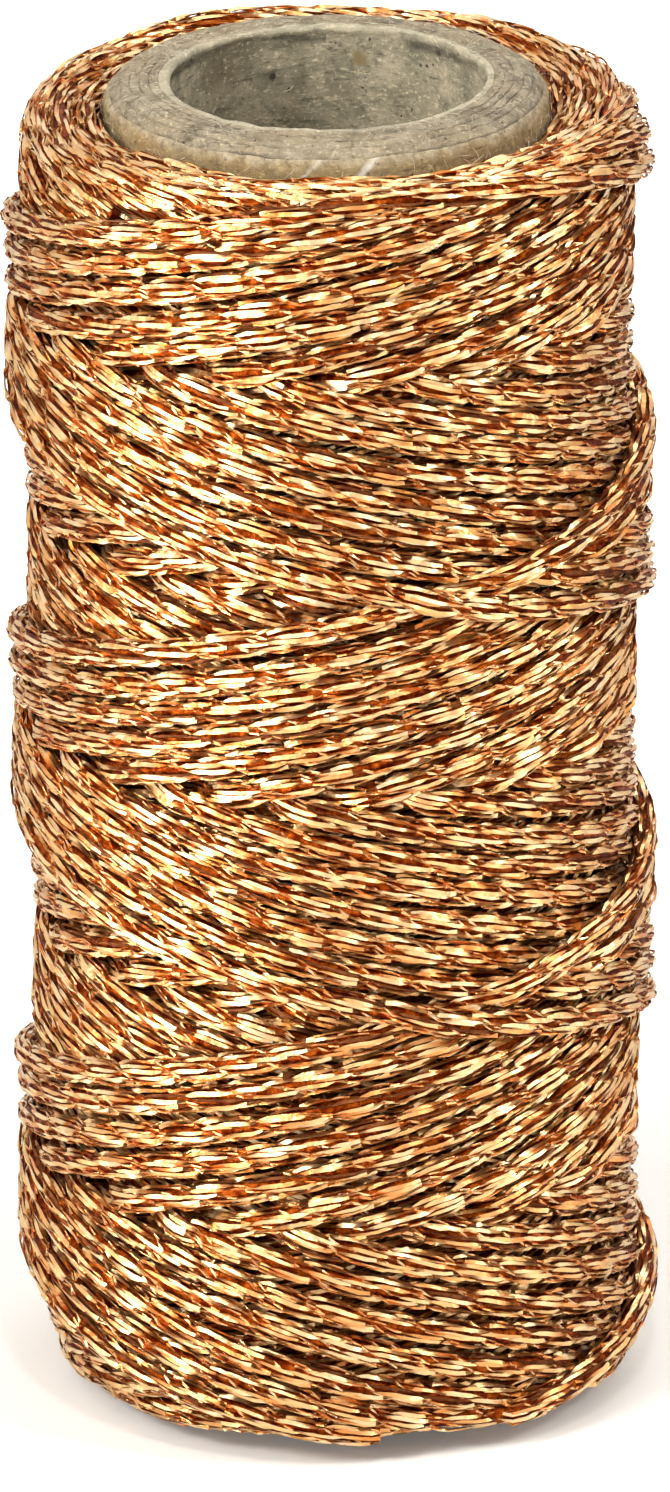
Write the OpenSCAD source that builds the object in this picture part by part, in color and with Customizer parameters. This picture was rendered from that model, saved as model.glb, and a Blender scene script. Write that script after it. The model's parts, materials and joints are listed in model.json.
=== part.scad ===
// Spool of twine: a laminated paper tube with a package of twine wound crosswise on it.
// The tube stands on its lower end at z = 0, with its axis on Z.

/* [Paper tube] */
// Length of the tube
tube_len = 90; // [70:1:150]
// Diameter of the bore
bore_d = 21; // [16:0.5:40]
// Thickness of the smooth liner that makes the bore
liner_t = 0.4; // [0.3:0.05:0.8]
// Thickness of each ply of grey board
ply_t = 0.64; // [0.4:0.02:1.2]
// Thickness of the outer wrap
wrap_t = 0.4; // [0.3:0.05:0.8]
// Radius worn on the inner and the outer edge of each rim
rim_wear = 0.3; // [0.1:0.05:0.3]

/* [Twine] */
// Diameter of the twine
twine_d = 2; // [1.4:0.1:2.2]
// Bare tube left beyond the twine at each end
bare_end = 1.7; // [0:0.1:8]
// Depth of the buried layers, from the tube to the outer layer
buried_depth = 2.4; // [2.4:0.1:14]
// Rounding of the buried layers at each end
shoulder_r = 1.8; // [0.5:0.1:2.2]

/* [Outer layer] */
// Direction of the first turning point, in degrees from +X
start_az = 110; // [0:1:359]
// Half of the angle over which a pass turns back at an end
turn_back = 30; // [15:5:45]
// Air between twines that cross
crossing_gap = 0.45; // [0.42:0.01:0.8]
// Air between the outer layer and the buried layers
seat_gap = 0.1; // [0.05:0.01:0.3]
// Air round an end of the twine in its hole in the buried layers
hole_gap = 0.35; // [0.2:0.05:0.5]
// Thickness of twine between the floor of such a hole and the tube
floor_t = 0.3; // [0.2:0.05:0.6]

/* [Hidden] */
$fn = 96;

// The board plies are numbered from the bore outwards.
ply_numbers = [1, 2, 3, 4, 5];
bore_r = bore_d / 2;
board_r = bore_r + liner_t;
wrap_r = board_r + len(ply_numbers) * ply_t;
tube_r = wrap_r + wrap_t;

// The mesh of the outer layer has a ring of corners every ring_step degrees round the tube.
twine_r = twine_d / 2;
sides = 6;
flat_r = twine_r * cos(180 / sides);
ring_step = 15;

// The outer layer lies on the buried layers in two levels: where two passes cross, the older is at low_r
// and the newer at high_r.
buried_r = tube_r + buried_depth;
low_r = (buried_r + seat_gap + flat_r) / cos(ring_step / 2);
high_r = low_r + twine_d + crossing_gap;

// The twine makes 4 trips up the tube and down again. A pass is an eighth of a turn short of 3 turns, so
// the trips lie a quarter of a turn apart and their passes cross every 45 degrees.
trip_count = 4;
passes = 2 * trip_count;
rings_per_crossing = 360 / passes / ring_step;
crossings_per_pass = 23;
rings_per_pass = crossings_per_pass * rings_per_crossing;
pass_angle = rings_per_pass * ring_step;
low_z = bare_end + twine_r;
high_z = tube_len - bare_end - twine_r;
rise = (high_z - low_z) / (pass_angle - turn_back);

// Each end of the outer layer bends down into a hole in the buried layers, a little way off the turning
// point that the two ends share, and stands square on the floor of its hole.
tail_rings = 2;
first_ring = tail_rings;
last_ring = passes * rings_per_pass - tail_rings;
bend_r = 1.2 * twine_r;
bend_rings = 3;
hole_r = twine_r + hole_gap;
floor_r = tube_r + floor_t;

// Height gained since the start of a pass. The twine turns back in a curve, not in a corner, and lag()
// is how far the curve runs behind the corner.
function lag(angle) = angle < turn_back ? pow(turn_back - angle, 2) / (2 * turn_back) : 0;
function gained(angle) = rise * (angle - turn_back / 2 + lag(angle) - lag(pass_angle - angle));

// Passes are counted in the order of winding. Even ones rise and odd ones fall. crossed_by() is the pass
// that pass k meets at its m-th crossing, and the later of the two lies at the high level.
function falls(k) = k % 2 == 1;
function crossed_by(k, m) = let (trip = floor(k / 2) + passes * trip_count)
    falls(k) ? 2 * ((trip - m) % trip_count) : 2 * ((trip - m - 1) % trip_count) + 1;
function level_at(k, m) = m == 0 || m == crossings_per_pass ? 0.5 : k > crossed_by(k, m) ? 1 : 0;
function blend(a, b, t) = a + (b - a) * (1 - cos(180 * t)) / 2;
function level(k, ring) = let (m = floor(ring / rings_per_crossing))
    blend(level_at(k, m), level_at(k, min(m + 1, crossings_per_pass)), ring / rings_per_crossing - m);

// The middle of the twine at a ring, counted from the first turning point, and its way along the tube.
function outward(ring) = let (az = start_az + ring * ring_step) [cos(az), sin(az), 0];
function middle(ring) = let (k = floor(ring / rings_per_pass), done = ring - k * rings_per_pass,
    up = gained(done * ring_step))
    (low_r + (high_r - low_r) * level(k, done)) * outward(ring)
    + [0, 0, falls(k) ? high_z - up : low_z + up];
function unit(v) = v / norm(v);
function heading(ring) = let (way = middle(ring + 0.5) - middle(ring - 0.5))
    unit(way - (way * outward(ring)) * outward(ring));

// A station is a place, a direction and a sideways direction. A tail has side -1 at the first end of the
// twine and 1 at the last, and its stations run from the layer to the floor of the hole.
function station(place, way, ring) = [place, way, cross(heading(ring), outward(ring))];
function bend_place(ring, side, a) = middle(ring) + side * bend_r * sin(a) * heading(ring)
    - bend_r * (1 - cos(a)) * outward(ring);
function foot(ring, side) = let (top = bend_place(ring, side, 90))
    top - (middle(ring) * outward(ring) - bend_r - floor_r) * outward(ring);
function tail(ring, side) = [
    for (i = [1:bend_rings]) let (a = 90 * i / bend_rings)
        station(bend_place(ring, side, a), cos(a) * heading(ring) - side * sin(a) * outward(ring), ring),
    station(foot(ring, side), -side * outward(ring), ring)];
function reversed(list) = [for (i = [len(list) - 1:-1:0]) list[i]];
stations = concat(
    reversed(tail(first_ring, -1)),
    [for (ring = [first_ring:last_ring]) station(middle(ring), heading(ring), ring)],
    tail(last_ring, 1));

// Least clear distance between stretches of the outer layer a quarter of a turn or more apart.
apart = 90 / ring_step;
function least_gap() = min([for (i = [0:len(stations) - 1 - apart], j = [i + apart:len(stations) - 1])
    norm(stations[i][0] - stations[j][0])]) - twine_d;

// One corner of a ring's section, where the angle is the direction in which its arc starts.
function corner(place, radius, from) = radius == 0 ? [place] :
    let (centre = place - radius * [cos(from) - sin(from), sin(from) + cos(from)])
    [for (a = [0:18:90]) centre + radius * [cos(from + a), sin(from + a)]];

module ring_solid(inner_r, outer_r, bottom, top, inner_round = 0, outer_round = 0) {
    rotate_extrude()
        polygon(concat(
            corner([inner_r, bottom], inner_round, 180),
            corner([outer_r, bottom], outer_round, 270),
            corner([outer_r, top], outer_round, 0),
            corner([inner_r, top], inner_round, 90)));
}

module tube_inner_liner() {
    color("#8f9187") ring_solid(bore_r, board_r, 0, tube_len, inner_round = rim_wear);
}

module board_ply(number) {
    inner_r = board_r + (number - 1) * ply_t;
    color(number % 2 == 0 ? "#a8a699" : "#9d9b8d") ring_solid(inner_r, inner_r + ply_t, 0, tube_len);
}

module tube_outer_wrap() {
    color("#b3a383") ring_solid(wrap_r, tube_r, 0, tube_len, outer_round = rim_wear);
}

module tail_hole(ring, side) {
    translate(foot(ring, side))
        rotate([0, 90, start_az + ring * ring_step])
            cylinder(h = buried_r, r = hole_r);
}

module twine_buried_layers() {
    color("#8a4a1c") difference() {
        ring_solid(tube_r, buried_r, bare_end, tube_len - bare_end, outer_round = shoulder_r);
        tail_hole(first_ring, -1);
        tail_hole(last_ring, 1);
    }
}

module twine_outer_layer() {
    echo(least_gap_of_outer_layer = least_gap());
    corners = [for (s = stations) let (up = cross(s[2], s[1]))
        for (i = [0:sides - 1]) s[0] + twine_r * (cos(360 * i / sides) * s[2] + sin(360 * i / sides) * up)];
    last = len(corners) - sides;
    skin = [for (base = [0:sides:last - 1], i = [0:sides - 1])
        let (a = base + i, b = base + (i + 1) % sides) each [[a, b, b + sides], [a, b + sides, a + sides]]];
    first_cap = [for (i = [1:sides - 2]) [0, i + 1, i]];
    last_cap = [for (i = [1:sides - 2]) [last, last + i, last + i + 1]];
    color("#d98a45") polyhedron(corners, concat(first_cap, skin, last_cap));
}

tube_inner_liner();
board_ply(1);  // board_ply_1
board_ply(2);  // board_ply_2
board_ply(3);  // board_ply_3
board_ply(4);  // board_ply_4
board_ply(5);  // board_ply_5
tube_outer_wrap();
twine_buried_layers();
twine_outer_layer();
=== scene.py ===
import json
import math

import bpy
import numpy as np
from mathutils import Matrix, Vector
from mathutils import noise as lumps


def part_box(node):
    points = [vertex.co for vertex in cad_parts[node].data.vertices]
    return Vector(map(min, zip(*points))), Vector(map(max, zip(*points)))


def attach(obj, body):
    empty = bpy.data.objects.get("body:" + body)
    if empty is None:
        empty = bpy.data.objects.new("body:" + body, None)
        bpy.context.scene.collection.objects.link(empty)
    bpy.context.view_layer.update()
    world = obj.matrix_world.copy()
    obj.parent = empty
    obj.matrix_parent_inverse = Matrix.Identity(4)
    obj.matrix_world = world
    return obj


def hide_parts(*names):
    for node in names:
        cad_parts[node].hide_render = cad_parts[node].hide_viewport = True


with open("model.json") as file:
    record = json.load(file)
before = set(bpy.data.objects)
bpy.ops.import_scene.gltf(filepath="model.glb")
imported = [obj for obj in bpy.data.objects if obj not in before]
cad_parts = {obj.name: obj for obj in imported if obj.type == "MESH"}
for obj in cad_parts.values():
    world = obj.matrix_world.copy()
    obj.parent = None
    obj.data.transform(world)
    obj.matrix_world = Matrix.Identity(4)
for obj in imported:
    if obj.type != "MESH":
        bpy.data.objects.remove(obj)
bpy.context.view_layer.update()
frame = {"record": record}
scene = bpy.context.scene
scene.view_settings.view_transform = "Standard"

# ---- Camera -------------------------------------------------------------------------------------------
# A long lens looks down on the spool from the front. It is turned a little about its own line of sight,
# and the picture is taken to be 670 by 1492.
mm = 0.001
camera_distance = 1160 * mm
camera_height_angle = math.radians(20.95)
camera_turn = math.radians(-0.571)
camera_aim = Vector((0.13 * mm, 0, 43.4 * mm))

look = Vector((0, math.cos(camera_height_angle), -math.sin(camera_height_angle)))
camera_data = bpy.data.cameras.new("camera")
camera_data.lens = 425.2
camera_data.clip_start = 0.05
camera_data.clip_end = 20
camera = bpy.data.objects.new("camera", camera_data)
scene.collection.objects.link(camera)
turned = look.to_track_quat("-Z", "Y").to_matrix() @ Matrix.Rotation(camera_turn, 3, "Z")
camera.rotation_euler = turned.to_euler()
camera.location = camera_aim - camera_distance * look
scene.camera = camera

# ---- Inner liner of the tube --------------------------------------------------------------------------
# A thin strip of smooth grey-green recycled paper, wound on a spiral, that makes the bore. The knife that
# cut the tube has turned its edge over, so a pale lip stands a little into the bore at each end.
tube_low, tube_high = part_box("tube_outer_wrap")
tube_length = tube_high.z - tube_low.z
tube_radius = tube_high.x
bore_radius = frame["record"]["mounts"][0]["dims"]["r_mm"] * mm
ring_segments = 384
ring_crease = math.radians(60)
weld_distance = 0.002 * mm

# The cut end of a ply has its corners at these shares of its thickness, and is worn down from the radius
# soft_from outwards. Its lumps are noise in cycles per metre, each with its weight, and rim_grain_swing
# brings their sum to about -1 to 1. Each ring is also out of round by a small share of its radius.
end_corners = (0, 0.1, 0.25, 0.42, 0.58, 0.75, 0.9, 0.97, 1)
groove_depth = 0.05 * mm
soft_from = 12.3 * mm
soft_drop = 1.75 * mm
rim_lumps = 0.26 * mm
rim_grain = ((420, 1), (1300, 0.9), (2900, 0.5))
rim_grain_swing = 1.5
out_of_round = 0.006
out_of_round_grain = 520

# The lip's section is a row of corners, as shares of its reach and of its height below the rim. It stands
# out most on the side of lip_turn, and frays by its own grain. Its cream is full down to the depth lip_full,
# and gone at lip_fades.
lip_reach = 0.34 * mm
lip_height = 0.7 * mm
lip_section = ((0, 1), (0.45, 0.75), (0.9, 0.5), (1, 0.3), (0.8, 0.1), (0.35, 0))
lip_turn = math.radians(165)
lip_left = 0.5
lip_left_swing = 0.35
lip_left_least = 0.1
lip_grain = ((260, 0.5), (900, 0.4))
lip_from = 0.02 * mm
lip_fades = 0.6 * mm
lip_full = 0.3 * mm
lip_cream_share = 0.3

# Painted shadow of the lip lies in broken patches under it. It fades out at the first two depths below the
# rim, and is full between the second two.
lip_shadow_depths = (1.5 * mm, 0.5 * mm)
lip_shadow_full_depths = (1.0 * mm, 0.8 * mm)
lip_shadow_share = 0.75

liner_green = (0.261, 0.235, 0.149, 1)
liner_pale = (0.638, 0.541, 0.365, 1)
liner_stain = (0.303, 0.244, 0.146, 1)
lip_cream = (0.62, 0.545, 0.39, 1)
# The dark of the specks, also used for the painted shadow under the lip.
speck_and_shadow_dark = (0.06, 0.045, 0.03, 1)
damp_tan = (0.36, 0.27, 0.12, 1)
husk_dark = (0.07, 0.055, 0.04, 1)
husk_red = (0.13, 0.06, 0.03, 1)
fleck_brown = (0.09, 0.07, 0.05, 1)

# Stains, husks and flecks in the bore, by their places and sizes in millimetres.
liner_spots = (((2.2, 10.2, 87.6), 0.9, damp_tan), ((-3.5, 9.9, 86.6), 0.42, husk_dark),
               ((7.4, 7.5, 88.9), 0.38, husk_red), ((6.2, 8.5, 87.75), 0.2, fleck_brown),
               ((6.6, 8.2, 87.8), 0.2, fleck_brown), ((7.0, 7.85, 88.0), 0.2, fleck_brown))

# A spot is full within the share spot_full of its size, and gone past spot_gone. Its edge wanders inwards by
# up to spot_ragged.
spot_full = 0.75
spot_gone = 1.25
spot_ragged = 0.9

# How much of a colour is laid on, as a grey.
none_of_it = (0, 0, 0, 1)
some_of_it = (0.7, 0.7, 0.7, 1)
most_of_it = (0.85, 0.85, 0.85, 1)
all_of_it = (1, 1, 1, 1)


def bare_select():
    """Leaves nothing selected."""
    for one in bpy.context.selected_objects:
        one.select_set(False)


def spin_ring(name, outline, segments):
    """A ring turned from a closed outline of (radius, height) pairs, with its faces outwards."""
    bare_select()
    mesh = bpy.data.meshes.new(name)
    count = len(outline)
    mesh.from_pydata([(r, 0, z) for r, z in outline], [(i, (i + 1) % count) for i in range(count)], [])
    piece = bpy.data.objects.new(name, mesh)
    scene.collection.objects.link(piece)
    bpy.context.view_layer.objects.active = piece
    piece.select_set(True)
    bpy.ops.object.mode_set(mode="EDIT")
    bpy.ops.mesh.select_all(action="SELECT")
    bpy.ops.mesh.spin(steps=segments, angle=2 * math.pi, center=(0, 0, 0), axis=(0, 0, 1))
    bpy.ops.mesh.select_all(action="SELECT")
    bpy.ops.mesh.remove_doubles(threshold=weld_distance)
    bpy.ops.mesh.normals_make_consistent(inside=False)
    bpy.ops.object.mode_set(mode="OBJECT")
    return piece


def worn_away(radius):
    """How far the rim has lost height at a radius: nothing inside, a soft round shoulder outside."""
    share = min(max((radius - soft_from) / (tube_radius - soft_from), 0), 1)
    return soft_drop * (1 - math.sqrt(1 - share ** 2))


def lumpy(place, grain):
    """Noise at a place, added up over the sizes of a grain."""
    return sum(weight * lumps.noise(place * scale) for scale, weight in grain)


def tube_ring(name, node, inner, outer, lip=False):
    """A ply of the tube with its cut ends: grooved at its glue lines, lumpy and softly worn."""
    top = []
    for share in end_corners:
        radius = inner + share * (outer - inner)
        grooved = groove_depth if share in (0, 1) else 0
        top.append((radius, worn_away(radius) + grooved))
    if lip:
        curl = [(inner - lip_reach * reach, lip_height * down) for reach, down in lip_section]
        top = curl + top[2:]
    upper = [(r, tube_high.z - down) for r, down in top]
    lower = [(r, tube_low.z + down) for r, down in reversed(top)]
    piece = spin_ring(name, upper + lower, ring_segments)
    for vertex in piece.data.vertices:
        inwards = -1 if vertex.co.z > tube_length / 2 else 1
        lump = lumpy(vertex.co, rim_grain) / rim_grain_swing
        vertex.co.z += inwards * rim_lumps * (1 + lump) / 2
        vertex.co.xy *= 1 + out_of_round * lumps.noise(vertex.co * out_of_round_grain)
        radius = vertex.co.xy.length
        if lip and radius < inner - lip_from:
            turn = math.atan2(vertex.co.y, vertex.co.x) - lip_turn
            left = lip_left + lip_left_swing * math.cos(turn) + lumpy(vertex.co, lip_grain)
            vertex.co.xy *= (inner - (inner - radius) * max(left, lip_left_least)) / radius
    bpy.ops.object.shade_smooth_by_angle(angle=ring_crease)
    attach(piece, "root")
    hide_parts(node)
    return piece


def start_material(name, roughness):
    """A node material with one Principled shader, and the shader."""
    material = bpy.data.materials.new(name)
    material.use_nodes = True
    shader = material.node_tree.nodes["Principled BSDF"]
    shader.inputs["Roughness"].default_value = roughness
    return material, shader


def add_node(material, kind, **inputs):
    """A node of a kind, with its inputs set by name. An underscore stands for a space."""
    made = material.node_tree.nodes.new("ShaderNode" + kind)
    for key, value in inputs.items():
        made.inputs[key.replace("_", " ")].default_value = value
    return made


def join(material, source, target):
    """Links an output to an input."""
    material.node_tree.links.new(source, target)


def coordinates(material, stretch=(1, 1, 1), turn=(0, 0, 0)):
    """Object coordinates, stretched and turned."""
    place = add_node(material, "TexCoord")
    mapping = add_node(material, "Mapping")
    mapping.inputs["Scale"].default_value = stretch
    mapping.inputs["Rotation"].default_value = turn
    join(material, place.outputs["Object"], mapping.inputs["Vector"])
    return mapping.outputs["Vector"]


def noise(material, where, scale, detail=3, roughness=0.5):
    """A cloudy value from 0 to 1 at a scale in cycles per metre."""
    made = add_node(material, "TexNoise", Scale=scale, Detail=detail, Roughness=roughness)
    join(material, where, made.inputs["Vector"])
    return made.outputs["Fac"]


def ramp(material, value, *stops):
    """Colours at positions, blended between them."""
    made = add_node(material, "ValToRGB")
    bar = made.color_ramp.elements
    bar[0].position, bar[0].color = stops[0]
    bar[1].position, bar[1].color = stops[-1]
    for position, colour in stops[1:-1]:
        bar.new(position).color = colour
    join(material, value, made.inputs["Fac"])
    return made.outputs["Color"]


def blend(material, share, one, other):
    """One colour with another laid over it by a share."""
    made = add_node(material, "Mix")
    made.data_type = "RGBA"
    share_socket, one_socket, other_socket = made.inputs[0], made.inputs[6], made.inputs[7]
    for source, socket in ((share, share_socket), (one, one_socket), (other, other_socket)):
        if isinstance(source, tuple):
            socket.default_value = source
        else:
            join(material, source, socket)
    return made.outputs[2]


def figure(material, how, one, other=0):
    """A value worked out from one or two others."""
    made = add_node(material, "Math")
    made.operation = how
    for source, socket in ((one, made.inputs[0]), (other, made.inputs[1])):
        if isinstance(source, (float, int)):
            socket.default_value = source
        else:
            join(material, source, socket)
    return made.outputs[0]


def between(material, value, low, high):
    """0 below the first limit and 1 above the second, or the other way round."""
    made = add_node(material, "MapRange", From_Min=low, From_Max=high)
    made.interpolation_type = "SMOOTHSTEP"
    join(material, value, made.inputs["Value"])
    return made.outputs["Result"]


def bump(material, shader, height, strength, distance):
    """Raises a surface by a height pattern, and gives the normal that this makes."""
    made = add_node(material, "Bump", Strength=strength, Distance=distance)
    join(material, height, made.inputs["Height"])
    join(material, made.outputs["Normal"], shader.inputs["Normal"])
    return made.outputs["Normal"]


def radius_and_height(material):
    """The distance from the tube's axis and the height above its lower end."""
    place = add_node(material, "TexCoord")
    flat = add_node(material, "VectorMath")
    flat.operation = "MULTIPLY"
    flat.inputs[1].default_value = (1, 1, 0)
    length = add_node(material, "VectorMath")
    length.operation = "LENGTH"
    apart = add_node(material, "SeparateXYZ")
    join(material, place.outputs["Object"], flat.inputs[0])
    join(material, flat.outputs[0], length.inputs[0])
    join(material, place.outputs["Object"], apart.inputs[0])
    return length.outputs["Value"], apart.outputs["Z"]


def round_the_tube(material, stretch):
    """Coordinates that run outwards, round the tube and upwards. A pattern is stretched round the tube."""
    place = add_node(material, "TexCoord")
    apart = add_node(material, "SeparateXYZ")
    join(material, place.outputs["Object"], apart.inputs[0])
    back = figure(material, "MULTIPLY", apart.outputs["Y"], -1)
    turn = figure(material, "ARCTAN2", apart.outputs["X"], back)
    radius, height = radius_and_height(material)
    whole = add_node(material, "CombineXYZ")
    join(material, radius, whole.inputs["X"])
    join(material, figure(material, "MULTIPLY", turn, tube_radius / stretch), whole.inputs["Y"])
    join(material, height, whole.inputs["Z"])
    return whole.outputs["Vector"]


def toned(colour, tone):
    """A colour made lighter or darker by a factor."""
    return tuple(min(1, tone * part) for part in colour[:3]) + (1,)


def lay_over(material, colour, tone, value, *stops):
    """A tone laid over a colour, as fully as the greys say that a value has at its stops."""
    return blend(material, ramp(material, value, *stops), colour, tone)


def pulp(material, shader, dark, pale, warm, fibre_turn, fuzz=0.3 * mm):
    """Recycled pulp: clouds, short light and dark fibres, fine flecks, splits and a felted surface."""
    plain = coordinates(material)
    along = coordinates(material, stretch=(1, 0.35, 1), turn=(0.5, 0.3, fibre_turn))
    athwart = coordinates(material, stretch=(0.35, 1, 1), turn=(0.9, 0.7, fibre_turn))
    clouds = noise(material, plain, scale=480, detail=6, roughness=0.72)
    colour = ramp(material, clouds, (0.36, dark), (0.64, pale))
    stains = noise(material, plain, scale=190)
    colour = lay_over(material, colour, warm, stains, (0.46, none_of_it), (0.74, all_of_it))
    pale_fibre = toned(pale, 1.45)
    dark_fibre = toned(dark, 0.4)
    for way in (along, athwart):
        fine = noise(material, way, scale=2100, detail=5, roughness=0.75)
        colour = lay_over(material, colour, dark_fibre, fine, (0.30, most_of_it), (0.44, none_of_it))
        finer = noise(material, way, scale=3300, roughness=0.6)
        colour = lay_over(material, colour, pale_fibre, finer, (0.58, none_of_it), (0.72, most_of_it))
    specks = noise(material, plain, scale=1900, detail=2)
    colour = lay_over(material, colour, speck_and_shadow_dark, specks, (0.70, none_of_it), (0.745, all_of_it))
    splits = noise(material, round_the_tube(material, stretch=7), scale=2300, detail=4, roughness=0.6)
    colour = lay_over(material, colour, dark_fibre, splits, (0.31, some_of_it), (0.41, none_of_it))
    felt = noise(material, athwart, scale=2400, detail=7, roughness=0.85)
    bump(material, shader, felt, strength=1, distance=fuzz)
    return colour


def spot(material, colour, place, size, tone):
    """A stain or a fleck of a size at a place in millimetres, with a ragged edge."""
    where = add_node(material, "TexCoord")
    away = add_node(material, "VectorMath")
    away.operation = "DISTANCE"
    away.inputs[1].default_value = [c * mm for c in place]
    join(material, where.outputs["Object"], away.inputs[0])
    ragged = figure(material, "MULTIPLY", noise(material, where.outputs["Object"], scale=1800),
                    spot_ragged * size)
    edge = figure(material, "ADD", away.outputs["Value"], ragged)
    return blend(material, between(material, edge, spot_gone * size, spot_full * size), colour, tone)


liner_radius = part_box("tube_inner_liner")[1].x
liner = tube_ring("liner", "tube_inner_liner", bore_radius, liner_radius, lip=True)
liner_paper, liner_shader = start_material("liner_paper", roughness=0.8)
liner_colour = pulp(liner_paper, liner_shader, liner_green, liner_pale, liner_stain, fibre_turn=0.3,
                    fuzz=0.16 * mm)
for place, size, tone in liner_spots:
    liner_colour = spot(liner_paper, liner_colour, place, size * mm, tone)
_, liner_height = radius_and_height(liner_paper)
# Painted shadow of the lip: a broken dark band just below the upper rim, in the colour of the specks.
lip_shadow_band = figure(liner_paper, "MULTIPLY",
                   between(liner_paper, liner_height, tube_high.z - lip_shadow_depths[0],
                           tube_high.z - lip_shadow_full_depths[0]),
                   between(liner_paper, liner_height, tube_high.z - lip_shadow_depths[1],
                           tube_high.z - lip_shadow_full_depths[1]))
lip_shadow_patches = noise(liner_paper, round_the_tube(liner_paper, stretch=5), scale=500, detail=4)
lip_shadow = figure(liner_paper, "MULTIPLY", lip_shadow_band, between(liner_paper, lip_shadow_patches, 0.40, 0.58))
lip_shadow = figure(liner_paper, "MULTIPLY", lip_shadow, lip_shadow_share)
liner_colour = blend(liner_paper, lip_shadow, liner_colour, speck_and_shadow_dark)
lip_band = figure(liner_paper, "MAXIMUM",
                  between(liner_paper, liner_height, tube_high.z - lip_fades, tube_high.z - lip_full),
                  between(liner_paper, liner_height, tube_low.z + lip_fades, tube_low.z + lip_full))
lip_band = figure(liner_paper, "MULTIPLY", lip_band, lip_cream_share)
liner_colour = blend(liner_paper, lip_band, liner_colour, lip_cream)
join(liner_paper, liner_colour, liner_shader.inputs["Base Color"])
liner.data.materials.append(liner_paper)

# ---- Board plies --------------------------------------------------------------------------------------
# Five strips of grey recycled board, glued one over the other on a spiral, make the thick wall. Their
# cut edges are the rings on the rim, and the glue between them shows as broken dark lines.
board_dark = (0.216, 0.171, 0.102, 1)
board_pale = (0.547, 0.455, 0.307, 1)
board_warm = (0.509, 0.384, 0.227, 1)
glue_dark = (0.10, 0.085, 0.06, 1)
glue_width = 0.16 * mm
glue_wander = 0.32 * mm
glue_share = 0.6
ply_tone_swing = 0.05
ply_tone_step = 2.4
ply_fibre_turn = 0.9

inner = liner_radius
for number in (1, 2, 3, 4, 5):
    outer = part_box(f"board_ply_{number}")[1].x
    ply = tube_ring(f"ply_{number}", f"board_ply_{number}", inner, outer)
    ply_tone = 1 + ply_tone_swing * math.sin(ply_tone_step * number)
    ply_board, ply_shader = start_material(f"grey_board_{number}", roughness=0.9)
    ply_colour = pulp(ply_board, ply_shader, toned(board_dark, ply_tone), toned(board_pale, ply_tone),
                      board_warm, fibre_turn=ply_fibre_turn * number)
    ply_radius, _ = radius_and_height(ply_board)
    wander = noise(ply_board, coordinates(ply_board), scale=1500, detail=4)
    wandering = figure(ply_board, "ADD", ply_radius, figure(ply_board, "MULTIPLY", wander, glue_wander))
    glue = between(ply_board, wandering, outer, outer + glue_width)
    broken = between(ply_board, noise(ply_board, coordinates(ply_board), scale=400, detail=4), 0.47, 0.60)
    glue = figure(ply_board, "MULTIPLY", glue, figure(ply_board, "MULTIPLY", broken, glue_share))
    ply_colour = blend(ply_board, glue, ply_colour, glue_dark)
    join(ply_board, ply_colour, ply_shader.inputs["Base Color"])
    ply.data.materials.append(ply_board)
    inner = outer

# ---- Outer wrap of the tube ---------------------------------------------------------------------------
# A thin tan strip of kraft paper, wound on a spiral over the board. Wear has taken it off the round edge
# of the upper rim, so the board shows there. Its edges meet in slanting seams, where white fibres stand out.
wrap_dark = (0.182, 0.128, 0.056, 1)
wrap_pale = (0.377, 0.278, 0.132, 1)
wrap_warm = (0.316, 0.200, 0.079, 1)
seam_white = (0.82, 0.78, 0.70, 1)

# The wrap is worn off above a wandering line between these depths below the upper rim.
wear_depths = (2.9 * mm, 1.9 * mm)
wear_wander = 2.4 * mm
wear_share = 0.85

# A seam has its place at the upper rim, in degrees to the right of the front, the share of it that shows,
# and its reach to each side in millimetres. Going up it leans to the right by seam_slope, and it shows on
# the front of the tube alone.
seams = ((16.3, 0.75, 1.0), (1.8, 0.45, 0.75))
seam_slope = math.radians(3.9) * tube_radius / mm
seam_middle = 0.35 * mm
seam_ragged = 0.9 * mm
seam_front = (-0.4 * tube_radius, -0.6 * tube_radius)

wrap = tube_ring("wrap", "tube_outer_wrap", inner, tube_radius)
wrap_paper, wrap_shader = start_material("wrap_paper", roughness=0.8)
wrap_colour = pulp(wrap_paper, wrap_shader, wrap_dark, wrap_pale, wrap_warm, fibre_turn=0.6, fuzz=0.14 * mm)
_, wrap_height = radius_and_height(wrap_paper)
wander = noise(wrap_paper, coordinates(wrap_paper), scale=700, detail=4, roughness=0.7)
wandering = figure(wrap_paper, "SUBTRACT", wrap_height, figure(wrap_paper, "MULTIPLY", wander, wear_wander))
worn = between(wrap_paper, wandering, tube_high.z - wear_depths[0], tube_high.z - wear_depths[1])
board_grain = noise(wrap_paper, coordinates(wrap_paper), scale=1900, detail=4, roughness=0.7)
bared_board = ramp(wrap_paper, board_grain, (0.36, board_dark), (0.56, board_pale))
wrap_colour = blend(wrap_paper, figure(wrap_paper, "MULTIPLY", worn, wear_share), wrap_colour, bared_board)
wrap_place = add_node(wrap_paper, "TexCoord").outputs["Object"]
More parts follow.
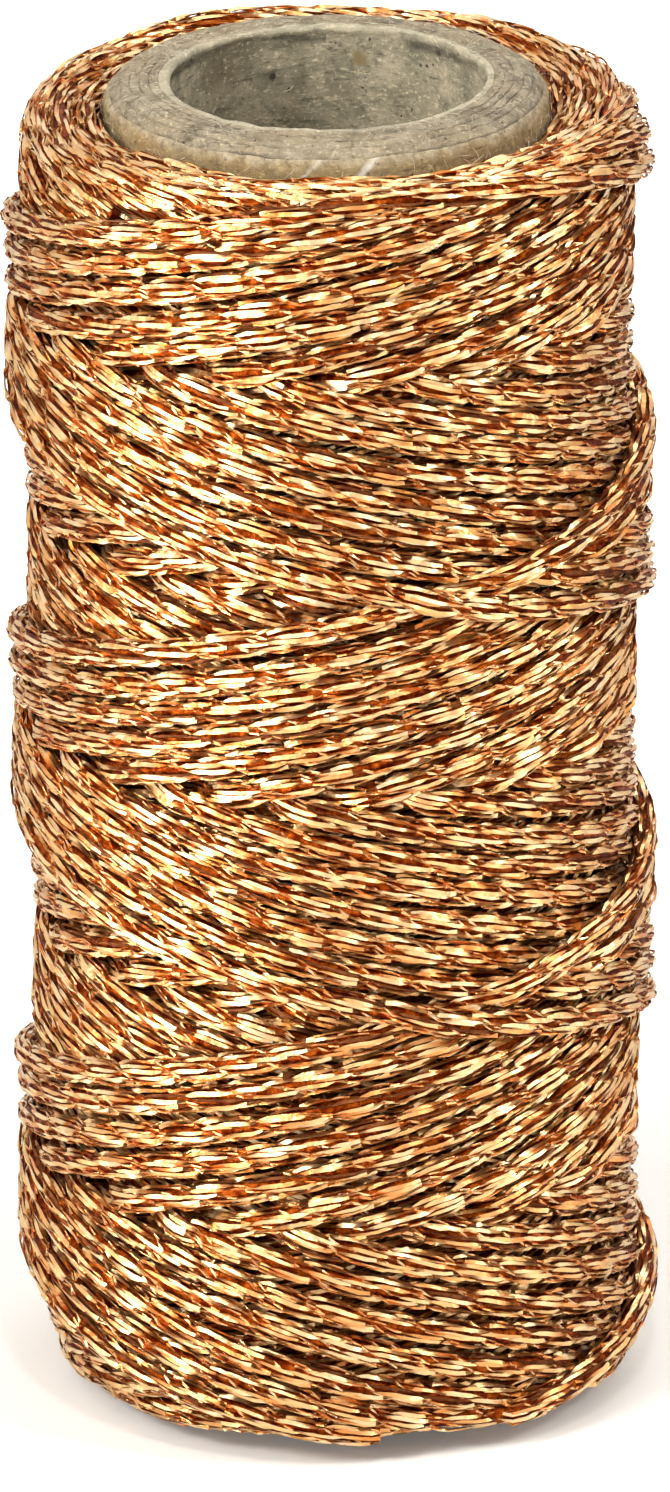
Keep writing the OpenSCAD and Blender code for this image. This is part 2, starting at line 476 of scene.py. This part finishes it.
for seam_turn, seam_share, seam_reach in seams:
    turn = math.radians(seam_turn)
    beside = add_node(wrap_paper, "VectorMath")
    beside.operation = "DOT_PRODUCT"
    beside.inputs[1].default_value = (math.cos(turn), math.sin(turn), -seam_slope)
    join(wrap_paper, wrap_place, beside.inputs[0])
    ragged = noise(wrap_paper, wrap_place, scale=1900, detail=5)
    off = figure(wrap_paper, "SUBTRACT", beside.outputs["Value"], -seam_slope * tube_high.z)
    off = figure(wrap_paper, "ADD", figure(wrap_paper, "ABSOLUTE", off),
                 figure(wrap_paper, "MULTIPLY", ragged, seam_ragged))
    near = between(wrap_paper, off, seam_reach * mm, seam_middle)
    front = add_node(wrap_paper, "SeparateXYZ")
    join(wrap_paper, wrap_place, front.inputs[0])
    facing = between(wrap_paper, front.outputs["Y"], *seam_front)
    share = figure(wrap_paper, "MULTIPLY", figure(wrap_paper, "MULTIPLY", near, facing), seam_share)
    wrap_colour = blend(wrap_paper, share, wrap_colour, seam_white)
join(wrap_paper, wrap_colour, wrap_shader.inputs["Base Color"])
wrap.data.materials.append(wrap_paper)

# ---- Loose fibres of the tube -------------------------------------------------------------------------
# The knife and handling have fretted the board's cut ends, so short pale fibres stand out of the rims, the
# wall above the twine and the mouth of the bore.
fibre_count = 900
fibre_radius = 0.016 * mm
fibre_lengths = (0.35, 1.3)
fibre_stations = 6
fibre_curl = 0.35
fibre_arches = (0.02, 0.22)
fibre_sunk = 0.02 * mm
fibre_tip = 0.6
fibre_swell = 0.8
fibre_cream = (0.66, 0.60, 0.47, 1)
fibre_draws = np.random.default_rng(3)
ribbon_crease = math.radians(62)

# Of every ten fibres, five lie on a rim, three on the wall beside it and two in the mouth of the bore. Two
# of every three are at the upper end. Depths from the tube's end are in millimetres, as the fibres' lengths
# and arches are.
fibres_on_rim = 5
rim_insets = (0.2 * mm, 0.4 * mm)
fibres_on_wall = 3
wall_depths = (1.6, 3.0)
mouth_depths = (0.8, 22)
fibre_stand_off = 0.03 * mm


def mesh_tubes(name, runs, material, node, tints=None):
    """A piece of closed tubes. A run is stations by corners by 3, and each run's ends are closed."""
    loops = []
    sizes = []
    base = 0
    for rings in runs:
        stations, corners = rings.shape[:2]
        start = base + np.arange(stations - 1)[:, None] * corners
        corner = np.arange(corners)[None, :]
        after = (corner + 1) % corners
        quad = [start + corner, start + after, start + corners + after, start + corners + corner]
        last = base + (stations - 1) * corners + np.arange(corners)
        loops += [np.stack(quad, 2).ravel(), base + np.arange(corners)[::-1], last]
        sizes += [np.full((stations - 1) * corners, len(quad)), [corners, corners]]
        base += stations * corners
    loops = np.concatenate(loops).astype(np.int32)
    sizes = np.concatenate(sizes)
    mesh = bpy.data.meshes.new(name)
    mesh.vertices.add(base)
    mesh.vertices.foreach_set("co", np.concatenate([rings.ravel() for rings in runs]).astype(np.float32))
    mesh.loops.add(len(loops))
    mesh.loops.foreach_set("vertex_index", loops)
    mesh.polygons.add(len(sizes))
    mesh.polygons.foreach_set("loop_start", (np.cumsum(sizes) - sizes).astype(np.int32))
    mesh.update(calc_edges=True)
    mesh.validate()
    if tints is not None:
        tint = mesh.attributes.new("tint", "FLOAT", "POINT")
        tint.data.foreach_set("value", np.concatenate(tints).ravel().astype(np.float32))
    piece = bpy.data.objects.new(name, mesh)
    scene.collection.objects.link(piece)
    mesh.materials.append(material)
    bare_select()
    piece.select_set(True)
    bpy.context.view_layer.objects.active = piece
    bpy.ops.object.shade_smooth_by_angle(angle=ribbon_crease)
    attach(piece, "root")
    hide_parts(node)


def loose_fibre(radius, height, outward, up):
    """A curled fibre that starts at a place on the tube and lies along its surface."""
    turn = fibre_draws.uniform(0, 2 * math.pi)
    round_way = np.array([-math.sin(turn), math.cos(turn), 0])
    out_way = np.array([math.cos(turn), math.sin(turn), 0])
    normal = outward * out_way + (1 - abs(outward)) * np.array([0, 0, up])
    slant = fibre_draws.uniform(0, 2 * math.pi)
    flat_way = math.cos(slant) * round_way + math.sin(slant) * np.cross(normal, round_way)
    side_way = np.cross(normal, flat_way)
    length = fibre_draws.uniform(*fibre_lengths) * mm
    t = np.linspace(0, 1, fibre_stations)[:, None]
    curl = fibre_draws.uniform(-fibre_curl, fibre_curl) * length
    arch = fibre_draws.uniform(*fibre_arches) * mm
    line = (radius * out_way + np.array([0, 0, height]) + length * (t - 0.5) * flat_way
            + curl * t * t * side_way + (arch * 4 * t * (1 - t) - fibre_sunk) * normal)
    thick = fibre_radius * (fibre_tip + fibre_swell * (1 - np.abs(2 * t - 1)))
    return np.stack([line + thick * side_way, line + thick * normal, line - thick * side_way], 1)


fibres = []
for number in range(fibre_count):
    up = 1 if number % 3 else -1
    end = tube_high.z if up > 0 else tube_low.z
    if number % 10 < fibres_on_rim:
        radius = fibre_draws.uniform(bore_radius + rim_insets[0], tube_radius - rim_insets[1])
        fibres.append(loose_fibre(radius, end - up * (worn_away(radius) + rim_lumps / 2), 0, up))
    elif number % 10 < fibres_on_rim + fibres_on_wall:
        down = fibre_draws.uniform(*wall_depths) * mm
        fibres.append(loose_fibre(tube_radius + fibre_stand_off, end - up * down, 1, up))
    else:
        down = fibre_draws.uniform(*mouth_depths) * mm
        fibres.append(loose_fibre(bore_radius - fibre_stand_off, end - up * down, -1, up))
fibre_material, fibre_shader = start_material("pale_fibre", roughness=0.9)
fibre_colour = ramp(fibre_material, noise(fibre_material, coordinates(fibre_material), scale=700, detail=2),
                    (0.4, board_pale), (0.6, fibre_cream))
join(fibre_material, fibre_colour, fibre_shader.inputs["Base Color"])
mesh_tubes("tube_fibres", fibres, fibre_material, "tube_outer_wrap")

# ---- The winding of the twine -------------------------------------------------------------------------
# The winder lays the twine crosswise: up the tube in three turns, round a reversal at the end, and down
# again. Each trip up and down starts a fourteenth of a turn behind the last, so the turns lie side by side.
rise_per_turn = 28.8 * mm
trips = 14
turns_per_pass = 3
low_corner = 3.1 * mm
high_corner = low_corner + turns_per_pass * rise_per_turn
first_turn = 20.7 / 360

# Where two passes cross, the upper has its middle at seated_radius and the lower lies strand_thick below.
# Each of the two lifts both, by up to newest_lift for the newest. Turns run from the front to the right.
seated_radius = 19.13 * mm
newest_lift = 1.15 * mm
strand_thick = 1.7 * mm

# Each reversal is a curve that starts and ends some degrees from its corner, drawn between two limits.
high_reversals = (34, 48)
low_reversals = (14, 24)

# The lower turns have slid down the tube a little, and a wander keeps the turns from lying quite even.
slide = 2.6 * mm
slide_from = 3 * mm
slide_span = 30 * mm
height_wander = 0.2 * mm
height_wander_from = 4 * mm
height_wander_span = 6 * mm
radius_wander = 0.09 * mm

# The package is rounded off at both ends: from a height on, its radius drops by the square of the way.
low_shoulder = 7.5 * mm
low_shoulder_span = 6 * mm
low_shoulder_drop = 2.0 * mm
high_shoulder = 84.5 * mm
high_shoulder_span = 4 * mm
high_shoulder_drop = 1.1 * mm

# Stations lie this far apart along the strand, whose turns have this mean radius and are longer by this
# factor for their slant. A hair of a turn keeps a station on its own side of a corner.
station_step = 0.68 * mm
mean_radius = 20.3 * mm
slant_length = 1.026
hair = 1e-6
twine_draws = np.random.default_rng(7)


def smooth(value):
    """Goes from 0 to 1 with level ends as value does."""
    value = np.clip(value, 0, 1)
    return value * value * (3 - 2 * value)


def mixed(one, other, share):
    """Goes from one value to another as share goes from 0 to 1."""
    return (1 - share) * one + share * other


def drift(rng, count, span):
    """A smooth random line from about -1 to 1, with a new value every span stations."""
    knots = rng.uniform(-1, 1, int(count / span) + 3)
    at = np.arange(count) / span + rng.uniform()
    low = at.astype(int)
    return knots[low] + (knots[low + 1] - knots[low]) * smooth(at - low)


def lifted(age):
    """How far the newest of the turns stand up, where age runs from 0 for the newest trip to 1."""
    return newest_lift * (1 - age) ** 3


def crossed_age(turn, trip):
    """The age, from 0 to 1, of the pass that a trip's pass meets at a turn. The newest trip is number 0."""
    return np.mod(2 * (turn - first_turn) - trip / trips, 1)


def rising_level(trip, crossed):
    """1 where a rising pass of a trip lies over the falling one that it crosses, 0 where under."""
    return smooth(crossed - trip) - smooth(crossed - (trips - 1))


def falling_level(trip, crossed):
    """The same for a falling pass, which lies over the rising one of its own trip."""
    return smooth(crossed - trip + 1) - (smooth(crossed - (trips - 1)) if trip else 0)


def corner_cut(turn, corner, ease):
    """How far the curve of a reversal lies inside its corner, over an ease in turns to each side."""
    near = np.clip(ease - np.abs(turn - corner), 0, None)
    return rise_per_turn * near ** 2 / (2 * ease)


def past_corner(turn, corner, ease):
    """Goes from 0 to 1 over the curve of a reversal."""
    return smooth((turn - corner + ease) / (2 * ease))


def wind_outer_layer():
    """Stations along the middle of the outer layer: their places, from the oldest trip to the newest."""
    start = first_turn + (trips - 1) / trips + 0.5 / trips
    whole_trip = 2 * turns_per_pass - 1 / trips
    count = int(trips * whole_trip * 2 * math.pi * mean_radius * slant_length / station_step)
    turn = start + np.linspace(0, trips * whole_trip, count)
    trip = np.full(count, trips - 1)
    height = np.zeros(count)
    level = np.zeros(count)
    high_ease = twine_draws.uniform(*high_reversals, trips) / 360
    low_ease = twine_draws.uniform(*low_reversals, trips + 1) / 360
    for passed in range(trips):
        newer = trips - 1 - passed
        bottom = start + passed * whole_trip
        top = bottom + turns_per_pass - 0.5 / trips
        end = bottom + whole_trip
        inside = (turn >= bottom) & (turn <= end)
        here = turn[inside]
        low_line = low_corner + 0.5 / trips * rise_per_turn
        line = np.where(here < top, low_line + (here - bottom) * rise_per_turn,
                        high_corner - (here - top) * rise_per_turn)
        line -= corner_cut(here, top, high_ease[passed])
        line += corner_cut(here, bottom, low_ease[passed])
        line += corner_cut(here, end, low_ease[passed + 1])
        height[inside] = line

        crossed_rising = trips * crossed_age(np.minimum(here, top - hair), newer)
        crossed_falling = trips * crossed_age(np.maximum(here, top + hair), newer)
        came_down = falling_level(newer + 1, passed) if passed else 0
        lies = mixed(rising_level(newer, crossed_rising), falling_level(newer, crossed_falling),
                     past_corner(here, top, high_ease[passed]))
        lies = mixed(came_down, lies, past_corner(here, bottom, low_ease[passed]))
        level[inside] = mixed(lies, 1, past_corner(here, end, low_ease[passed + 1]))
        trip[inside] = newer
    met = crossed_age(turn, trip)
    oldest = smooth(met * trips - (trips - 1))
    lift = lifted(trip / trips) + mixed(lifted(met), lifted(0), oldest)
    radius = seated_radius + lift - strand_thick * (1 - level)
    slid = slide * (1 - smooth((height - slide_from) / slide_span))
    wandered = height_wander * drift(twine_draws, count, span=27)
    height = height - slid + wandered * smooth((height - height_wander_from) / height_wander_span)
    below = np.clip(low_shoulder - height, 0, None) / low_shoulder_span
    above = np.clip(height - high_shoulder, 0, None) / high_shoulder_span
    radius += radius_wander * drift(twine_draws, count, span=14)
    radius -= low_shoulder_drop * below ** 2 + high_shoulder_drop * above ** 2
    angle = 2 * math.pi * turn
    return np.stack([radius * np.sin(angle), -radius * np.cos(angle), height], 1)


outer_path = wind_outer_layer()

# ---- Make-up of the twine -----------------------------------------------------------------------------
# Sixteen fine ends twisted together loosely round a core, whose dark red-brown is partly painted shade of
# the gaps between the ends. Fifteen ends are metallised film wound on itself, a row of dashes, and one is
# dull spun yarn.
end_count = 16
yarn_place = 4
twine_lay = 38 * mm
end_radius = 0.73 * mm
core_radius = 0.65 * mm
core_sides = 7

# The core has a ring of corners at every third station, and a strand is pressed a little flat.
core_step = 3
flattened = 0.88

# An end of film winds on itself once in every lay, and dwells with its face outwards. Its section is a
# triangle: a flat face, and a low back.
film_lay = 4.2 * mm
film_dwell = 0.88
film_swing = 0.15 * mm
film_width = 0.28 * mm
film_depth = 0.10 * mm
yarn_width = 0.22 * mm
yarn_depth = 0.16 * mm
yarn_seat = 0.96

# How far an end wanders: round the core and as it turns, in radians, and in its seat and width, as shares.
swing_wander = 0.22
roll_wander = 1.3
tilt_wander = 0.45
seat_wander = 0.1
width_wander = 0.18

# The tint of a film's face changes from place to place between this and 1, and that of its back is 0,
# painted shade.
face_tint_least = 0.3

film_pale = (0.91, 0.65, 0.36, 1)
film_gold = (0.81, 0.50, 0.20, 1)
film_copper = (0.70, 0.24, 0.045, 1)
film_back_shade = (0.48, 0.078, 0.005, 1)
yarn_rust = (0.20, 0.065, 0.018, 1)
yarn_brown = (0.07, 0.015, 0.003, 1)
core_dark_and_shade = (0.10, 0.011, 0.001, 1)
core_copper = (0.44, 0.09, 0.008, 1)


def film_finish():
    """Metallised film: gold to copper by the tint of each stretch, its back deep red as painted shade,
    finely crimped.
    """
    material, shader = start_material("metal_film", roughness=0.38)
    shader.inputs["Metallic"].default_value = 1
    shader.inputs["Coat Weight"].default_value = 0.3
    shader.inputs["Coat IOR"].default_value = 1.8
    shader.inputs["Coat Roughness"].default_value = 0.11
    tint = add_node(material, "Attribute")
    tint.attribute_name = "tint"
    colour = ramp(material, tint.outputs["Fac"], (0.0, film_back_shade), (0.3, film_copper), (0.6, film_gold),
                  (1.0, film_pale))
    join(material, colour, shader.inputs["Base Color"])
    crimp = noise(material, coordinates(material), scale=1550, detail=2, roughness=0.6)
    crimped = bump(material, shader, crimp, strength=0.8, distance=0.16 * mm)
    join(material, crimped, shader.inputs["Coat Normal"])
    return material


def yarn_finish():
    """Dull spun yarn, mottled from dark brown to rust."""
    material, shader = start_material("dull_yarn", roughness=0.75)
    shader.inputs["Specular IOR Level"].default_value = 0.08
    mottle = noise(material, coordinates(material), scale=1400)
    colour = ramp(material, mottle, (0.35, yarn_brown), (0.7, yarn_rust))
    join(material, colour, shader.inputs["Base Color"])
    return material


def core_finish():
    """The crumpled film of the core: dark red-brown, partly as painted shade of the gaps, with patches of
    copper.
    """
    material, shader = start_material("copper_core", roughness=0.42)
    shader.inputs["Metallic"].default_value = 1
    where = coordinates(material)
    colour = ramp(material, noise(material, where, scale=1500), (0.42, core_dark_and_shade), (0.72, core_copper))
    join(material, colour, shader.inputs["Base Color"])
    crumple = noise(material, where, scale=1800, detail=4, roughness=0.7)
    bump(material, shader, crumple, strength=1, distance=0.25 * mm)
    return material


film_material = film_finish()
yarn_material = yarn_finish()
core_material = core_finish()


def strand_frame(path):
    """For each station of a strand, the direction across it along the package and the one outwards."""
    ahead = np.gradient(path, axis=0)
    ahead /= np.linalg.norm(ahead, axis=1)[:, None]
    out = path * (1, 1, 0)
    out /= np.linalg.norm(out, axis=1)[:, None]
    across = np.cross(out, ahead)
    across /= np.linalg.norm(across, axis=1)[:, None]
    return across, np.cross(ahead, across)


def twist_strand(path, rng):
    """Corners of a strand's core and of each of its ends, and the tints of the ends."""
    count = len(path)
    along = np.concatenate([[0], np.cumsum(np.linalg.norm(np.diff(path, axis=0), axis=1))])
    across, out = strand_frame(path)

    def placed(right, up):
        return path + right[:, None] * across + flattened * up[:, None] * out

    core = []
    for side in range(core_sides):
        swing = 2 * math.pi * (along / twine_lay + side / core_sides)
        core.append(placed(core_radius * np.cos(swing), core_radius * np.sin(swing)))
    ends = []
    for end in range(end_count):
        is_yarn = end == yarn_place
        width, depth = (yarn_width, yarn_depth) if is_yarn else (film_width, film_depth)
        swing = 2 * math.pi * (along / twine_lay + end / end_count)
        swing += swing_wander * drift(rng, count, span=16)
        seat = end_radius * (yarn_seat if is_yarn else 1 + seat_wander * drift(rng, count, span=7))
        roll = 2 * math.pi * (along / film_lay + rng.uniform())
        roll += roll_wander * drift(rng, count, span=11)
        lean = swing - roll + film_dwell * np.sin(roll)
        tilt = lean + tilt_wander * drift(rng, count, span=5)
        half = width / 2 * (1 + width_wander * drift(rng, count, span=5))
        right = seat * np.cos(swing) + film_swing * np.cos(lean)
        up = seat * np.sin(swing) + film_swing * np.sin(lean)
        edge_right = -np.sin(tilt) * half
        edge_up = np.cos(tilt) * half
        rings = np.stack([
            placed(right - edge_right, up - edge_up),
            placed(right + edge_right, up + edge_up),
            placed(right - depth * np.cos(tilt), up - depth * np.sin(tilt))], 1)
        # The face's tint wanders. The back corner's tint of 0 paints it deep red, as painted shade of the
        # crevices.
        face = mixed(face_tint_least, 1, 0.5 + 0.5 * drift(rng, count, span=3))
        ends.append((is_yarn, rings, np.stack([face, face, 0 * face], 1)))
    return np.stack(core, 1)[::core_step], ends


# ---- Buried layers of twine ---------------------------------------------------------------------------
# Older layers fill the package out from the tube to the outer layer. They show in the gaps between the
# outermost turns, and on the two ends, where every layer turns back beside the tube.
drum_low = 2.4 * mm
drum_high = 87.0 * mm

# The drum's section, from the tube outwards: radii, and heights from the end of the drum, in millimetres.
drum_outline = ((14.55, 0), (16.4, 0), (17.0, 0.8), (17.3, 2.4))
drum_segments = 128
drum_crease = math.radians(40)
# The drum is painted dark brown with copper patches: painted shade of the twine deep in the gaps and at the
# ends.
buried_shade_brown = (0.10, 0.022, 0.005, 1)
buried_copper = (0.36, 0.11, 0.025, 1)

# The layers at each end, by the radius and the height in millimetres at which their strands turn back. A
# strand runs so many degrees to each side of its turning point, and its curve ends at so many. The strands
# of a layer are spread round the tube, each a little off its place, and layer_turn sets the layers off from
# each other, in turns to the millimetre of radius. A strand climbs outwards on its way.
top_layers = ((15.6, 87.35), (16.7, 87.5), (17.8, 87.6), (18.8, 87.6))
bottom_layers = ((15.6, 2.2), (16.8, 2.2), (18.0, 2.4))
strands_per_layer = 9
layer_turn = 0.37
strand_halves = (42, 52)
strand_eases = (38, 52)
strand_uneven_turn = 0.15
strand_uneven_height = 0.25
strand_climb = 0.5 * mm
strand_least_radius = 15.55 * mm

drum_lower = [(r * mm, drum_low + z * mm) for r, z in drum_outline]
drum_upper = [(r * mm, drum_high - z * mm) for r, z in reversed(drum_outline)]
drum = spin_ring("buried_layers", drum_lower + drum_upper, drum_segments)
bpy.ops.object.shade_smooth_by_angle(angle=drum_crease)
drum_material, drum_shader = start_material("buried_twine", roughness=0.6)
drum_shader.inputs["Specular IOR Level"].default_value = 0.1
drum_where = coordinates(drum_material, stretch=(1, 1, 3))
drum_colour = ramp(drum_material, noise(drum_material, drum_where, scale=900), (0.4, buried_shade_brown),
                   (0.75, buried_copper))
join(drum_material, drum_colour, drum_shader.inputs["Base Color"])
drum_waves = noise(drum_material, drum_where, scale=500)
bump(drum_material, drum_shader, drum_waves, strength=0.8, distance=0.4 * mm)
drum.data.materials.append(drum_material)
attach(drum, "root")
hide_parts("twine_buried_layers")


def turned_back(radius, height, up, rng, step):
    """The strands of one buried layer where they turn back at an end: up is 1 at the top, -1 below."""
    strands = []
    for number in range(strands_per_layer):
        uneven = rng.uniform(-strand_uneven_turn, strand_uneven_turn)
        middle = (number + uneven) / strands_per_layer + layer_turn * radius / mm
        half = rng.uniform(*strand_halves) / 360
        ease = rng.uniform(*strand_eases) / 360
        away = np.linspace(-half, half, int(2 * half * 2 * math.pi * radius / step))
        fall = np.where(np.abs(away) < ease, away ** 2 / (2 * ease), np.abs(away) - ease / 2)
        z = height - up * rise_per_turn * fall
        z += rng.uniform(-strand_uneven_height, strand_uneven_height) * mm
        r = radius + strand_climb * np.sin(np.clip(away / half, -1, 1) * math.pi / 2)
        r = np.maximum(r, strand_least_radius)
        angle = 2 * math.pi * (middle + away)
        strands.append(np.stack([r * np.sin(angle), -r * np.cos(angle), z], 1))
    return strands


def end_turns(name, layers, up, step):
    """Joins the turned-back strands of an end into one piece of cores, one of yarns and one of films."""
    cores, films, yarns, film_tints = [], [], [], []
    for radius, height in layers:
        for path in turned_back(radius * mm, height * mm, up, twine_draws, step):
            core, ends = twist_strand(path, twine_draws)
            cores.append(core)
            yarns += [rings for is_yarn, rings, _ in ends if is_yarn]
            films += [rings for is_yarn, rings, _ in ends if not is_yarn]
            film_tints += [tints for is_yarn, _, tints in ends if not is_yarn]
    mesh_tubes(f"{name}_cores", cores, core_material, "twine_buried_layers")
    mesh_tubes(f"{name}_yarns", yarns, yarn_material, "twine_buried_layers")
    mesh_tubes(f"{name}_films", films, film_material, "twine_buried_layers", film_tints)


end_turns("top_turns", top_layers, up=1, step=0.75 * mm)
end_turns("bottom_turns", bottom_layers, up=-1, step=1.0 * mm)

# ---- Outer layer of twine -----------------------------------------------------------------------------
# One unbroken strand of the twine, whose passes cross each other, the newer over the older, all over the
# package. Nothing but the way it is wound holds it on the tube.
outer_core, outer_ends = twist_strand(outer_path, twine_draws)
mesh_tubes("twine_core", [outer_core], core_material, "twine_outer_layer")
for number, (is_yarn, rings, tints) in enumerate(outer_ends, 1):
    kind, material = ("yarn", yarn_material) if is_yarn else ("film", film_material)
    mesh_tubes(f"twine_{kind}_{number}", [rings], material, "twine_outer_layer", [tints])

# ---- Floor, background and lights ---------------------------------------------------------------------
# A plain pale floor, which the camera sees brighten to white away from the spool's shadow, and a white
# surround. Three wide lamps light the spool, three small ones make sparks on the film, and four hang over
# the floor, because the film mirrors the patches that they light.
floor_size = 6
floor_pale = (0.95, 0.93, 0.88, 1)
surround_white = (1, 1, 1, 1)

# The surround is white where it is seen or mirrored, and lights the spool at the lower strength.
surround_seen = 1
surround_light = 0.24

bare_select()
bpy.ops.mesh.primitive_plane_add(size=floor_size, location=(0, 0, 0))
floor = bpy.context.object
floor.name = "floor"
floor_material, floor_shader = start_material("floor_white", roughness=0.9)
floor_shader.inputs["Base Color"].default_value = floor_pale
floor_shader.inputs["Specular IOR Level"].default_value = 0
floor_shader.inputs["Emission Color"].default_value = surround_white
floor_seen = add_node(floor_material, "LightPath")
floor_reach, _ = radius_and_height(floor_material)
floor_lift = add_node(floor_material, "MapRange", From_Min=20 * mm, From_Max=270 * mm, To_Min=0.1, To_Max=1)
join(floor_material, floor_reach, floor_lift.inputs["Value"])
floor_glow = figure(floor_material, "MULTIPLY", floor_seen.outputs["Is Camera Ray"],
                    floor_lift.outputs["Result"])
join(floor_material, floor_glow, floor_shader.inputs["Emission Strength"])
floor.data.materials.append(floor_material)

world = bpy.data.worlds.new("surround")
scene.world = world
world.use_nodes = True
world_nodes = world.node_tree.nodes
world_links = world.node_tree.links
backdrop = world_nodes["Background"]
backdrop.inputs["Color"].default_value = surround_white
light_path = world_nodes.new("ShaderNodeLightPath")
seen = light_path.outputs["Is Camera Ray"]
for ray in ("Is Glossy Ray", "Is Transmission Ray"):
    either = world_nodes.new("ShaderNodeMath")
    either.operation = "MAXIMUM"
    world_links.new(seen, either.inputs[0])
    world_links.new(light_path.outputs[ray], either.inputs[1])
    seen = either.outputs[0]
strength = world_nodes.new("ShaderNodeMapRange")
strength.inputs["To Min"].default_value = surround_light
strength.inputs["To Max"].default_value = surround_seen
world_links.new(seen, strength.inputs["Value"])
world_links.new(strength.outputs["Result"], backdrop.inputs["Strength"])


def soft_light(name, azimuth, elevation, distance, width, height, power):
    """An area light that faces the middle of the spool, with its angles in degrees."""
    data = bpy.data.lights.new(name, "AREA")
    data.shape = "RECTANGLE"
    data.size = width
    data.size_y = height
    data.energy = power
    lamp = bpy.data.objects.new(name, data)
    scene.collection.objects.link(lamp)
    a, e = math.radians(azimuth), math.radians(elevation)
    away = Vector((math.sin(a) * math.cos(e), -math.cos(a) * math.cos(e), math.sin(e)))
    lamp.location = Vector((0, 0, tube_length / 2)) + distance * away
    lamp.rotation_euler = (-away).to_track_quat("-Z", "Y").to_euler()


soft_light("key", azimuth=-48, elevation=36, distance=0.42, width=0.22, height=0.6, power=1.28)
soft_light("left_spark", azimuth=-50, elevation=32, distance=0.40, width=0.05, height=0.09, power=0.75)
soft_light("front_spark", azimuth=8, elevation=56, distance=0.45, width=0.035, height=0.035, power=0.36)
soft_light("side", azimuth=68, elevation=40, distance=0.45, width=0.16, height=0.5, power=0.78)
soft_light("right_spark", azimuth=62, elevation=40, distance=0.45, width=0.035, height=0.055, power=0.38)
soft_light("back", azimuth=150, elevation=62, distance=0.9, width=0.45, height=0.45, power=1.9)


def floor_light(name, azimuth, reach, height, spread, power):
    """A lamp that hangs over the floor beside the spool and lights a round patch of it."""
    data = bpy.data.lights.new(name, "SPOT")
    data.energy = power
    data.spot_size = math.radians(spread)
    data.spot_blend = 1
    data.shadow_soft_size = 0.03
    lamp = bpy.data.objects.new(name, data)
    scene.collection.objects.link(lamp)
    a = math.radians(azimuth)
    lamp.location = (reach * math.sin(a), -reach * math.cos(a), height)


floor_light("near_patch", azimuth=-52, reach=0.13, height=0.5, spread=15, power=300)
floor_light("far_patch", azimuth=-50, reach=0.31, height=0.8, spread=18, power=500)
floor_light("right_patch", azimuth=64, reach=0.12, height=0.5, spread=16, power=32)
floor_light("back_patch", azimuth=180, reach=0.2, height=0.5, spread=30, power=3)
